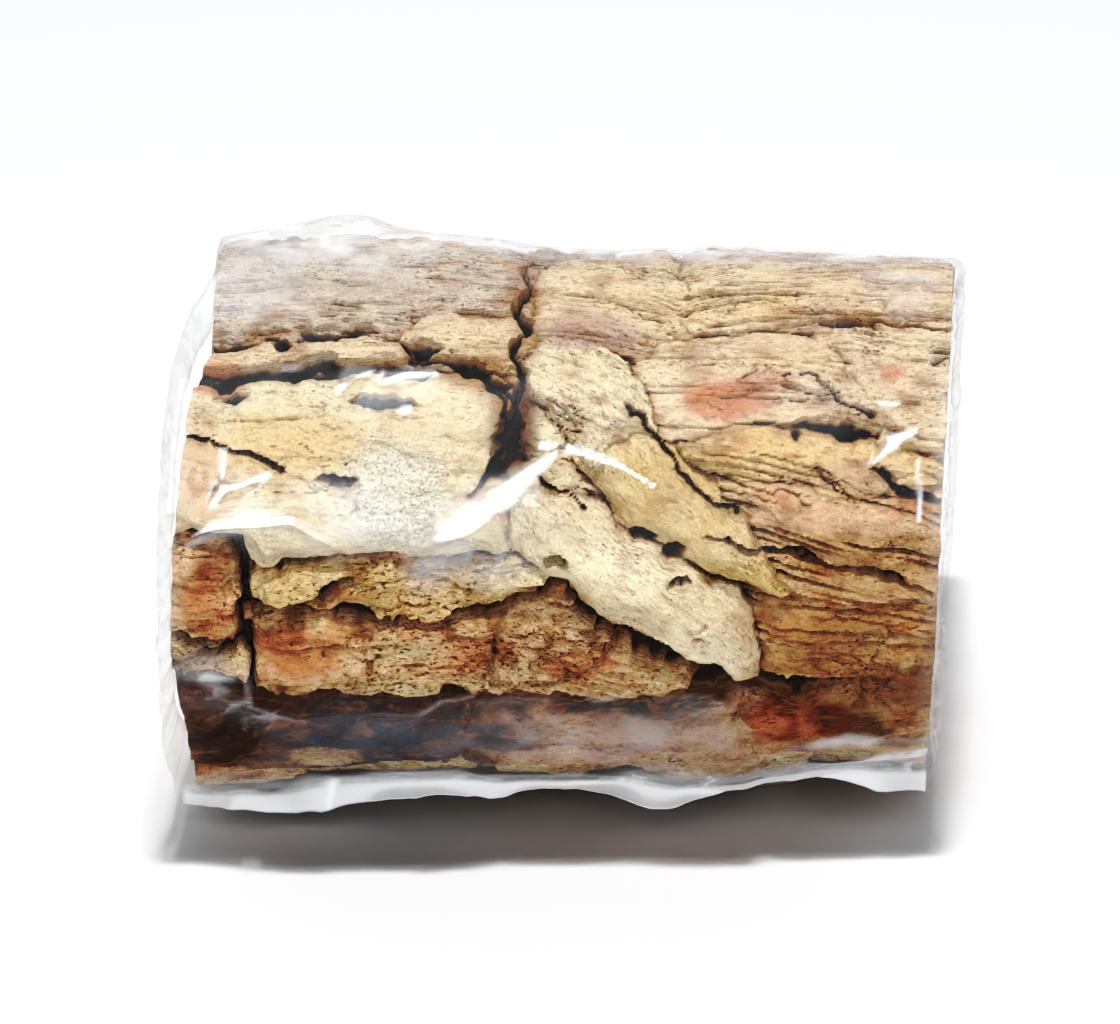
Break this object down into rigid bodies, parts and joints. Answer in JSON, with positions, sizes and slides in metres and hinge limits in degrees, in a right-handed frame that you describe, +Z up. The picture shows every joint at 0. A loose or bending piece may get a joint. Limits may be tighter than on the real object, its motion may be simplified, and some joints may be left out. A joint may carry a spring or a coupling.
{
  "type": "cork bark tube",
  "caption": "Short hollow tube of rough cork bark, cut square from a branch and shrunk into clear packing film, for a planted tank, an orchid or a hide",
  "frame": {"origin": "middle of the underside of the whole object's box, on the surface that the tube lies on", "axes": "+X along the tube's axis, from its wider end to its narrower one, +Y away from the side that the picture shows, +Z up"},
  "size_m": [0.2164, 0.1571, 0.1494],
  "materials": {
    "cork": "rough raw outer bark of the cork oak, cream to tan plates with rusty patches and near black crevices",
    "film": "clear glossy shrink film with creases, slightly milky where it is slack"
  },
  "bodies": {
    "root": {"cork_bark": "cork", "film_wrap": "film"}
  },
  "joints": []
}
